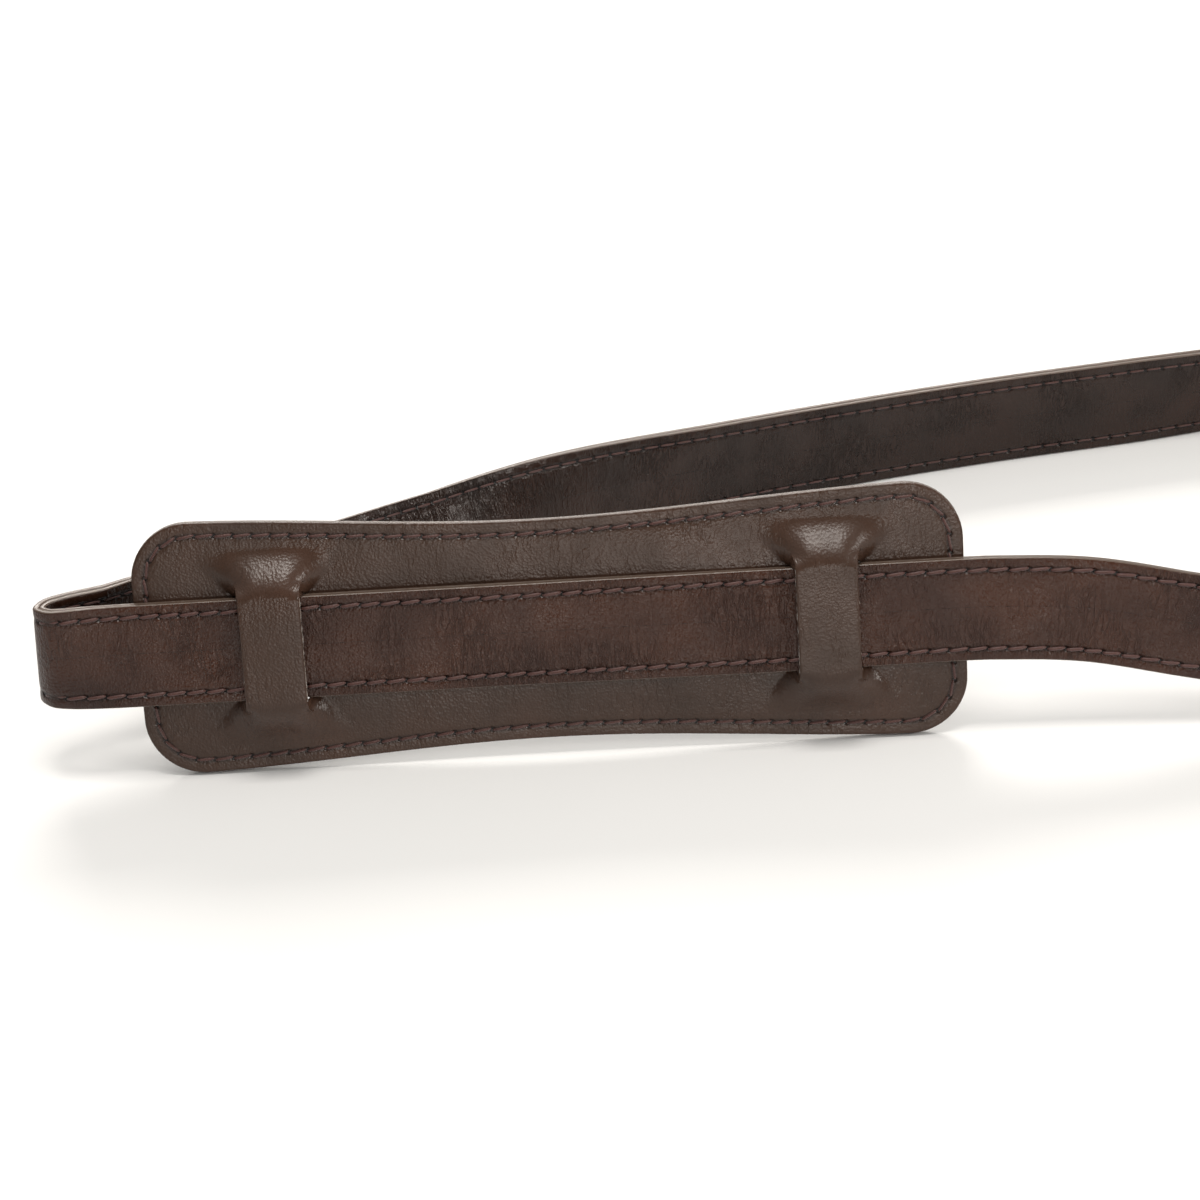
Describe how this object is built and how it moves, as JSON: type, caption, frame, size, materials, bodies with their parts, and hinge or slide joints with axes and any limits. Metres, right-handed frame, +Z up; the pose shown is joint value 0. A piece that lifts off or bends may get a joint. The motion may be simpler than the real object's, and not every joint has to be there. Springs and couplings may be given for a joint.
{
  "type": "guitar strap",
  "caption": "Narrow two-ply stitched leather guitar strap with a waisted sliding shoulder pad, tongue buckle, keepers and button-hole end tabs, laid folded on a table.",
  "frame": {"origin": "middle of the laid-out strap's bounding box, on the table", "axes": "+X along the straight run through the pad, from the fold towards the two ends; +Y from the pad's run towards the other run; +Z up"},
  "size_m": [0.6292, 0.176, 0.0599],
  "materials": {
    "strap_leather": "dark brown semi-gloss smooth-grain cowhide, finished face",
    "pad_leather": "dark brown smooth leather, slightly greyer and duller than the strap",
    "lining_leather": "thin glossy dark brown lining leather with fine creases",
    "sewing_thread": "thick bonded dark reddish-brown twisted thread",
    "brass_hardware": "antiqued brass, softly polished"
  },
  "bodies": {
    "strap": {"strap_face": "strap_leather", "strap_lining": "lining_leather", "strap_thread_upper": "sewing_thread", "strap_thread_lower": "sewing_thread", "front_end_tab": "strap_leather", "front_tab_rivet_1": "brass_hardware", "front_tab_rivet_2": "brass_hardware", "buckle_chape": "strap_leather", "fixed_keeper": "strap_leather", "billet_face": "strap_leather", "billet_lining": "lining_leather", "billet_thread_upper": "sewing_thread", "billet_thread_lower": "sewing_thread", "rear_end_tab": "strap_leather", "rear_tab_rivet_1": "brass_hardware", "rear_tab_rivet_2": "brass_hardware"},
    "pad": {"pad_face": "pad_leather", "pad_lining": "lining_leather", "pad_thread": "sewing_thread"},
    "keeper": {"sliding_keeper": "strap_leather"},
    "frame": {"buckle_frame": "brass_hardware"},
    "tongue": {"buckle_tongue": "brass_hardware"},
    "roller": {"buckle_roller": "brass_hardware"}
  },
  "joints": [
    {"name": "pad_slide", "type": "slide", "parent": "strap", "child": "pad", "axis": [1, 0, 0], "range_m": [-0.004, 0.024]},
    {"name": "keeper_slide", "type": "slide", "parent": "strap", "child": "keeper", "axis": [1, 0, 0], "range_m": [-0.01, 0.006]},
    {"name": "frame_hinge", "type": "hinge", "parent": "strap", "child": "frame", "pos_m": [0.15408, 0.0715, 0.00315], "axis": [0, -1, 0], "range_deg": [0, 5]},
    {"name": "tongue_hinge", "type": "hinge", "parent": "frame", "child": "tongue", "pos_m": [0.15408, 0.0715, 0.00315], "axis": [0, -1, 0], "range_deg": [0, 12]},
    {"name": "roller_spin", "type": "hinge", "parent": "frame", "child": "roller", "pos_m": [0.17799, 0.0715, 0.0052], "axis": [0, 1, 0], "continuous": true}
  ]
}
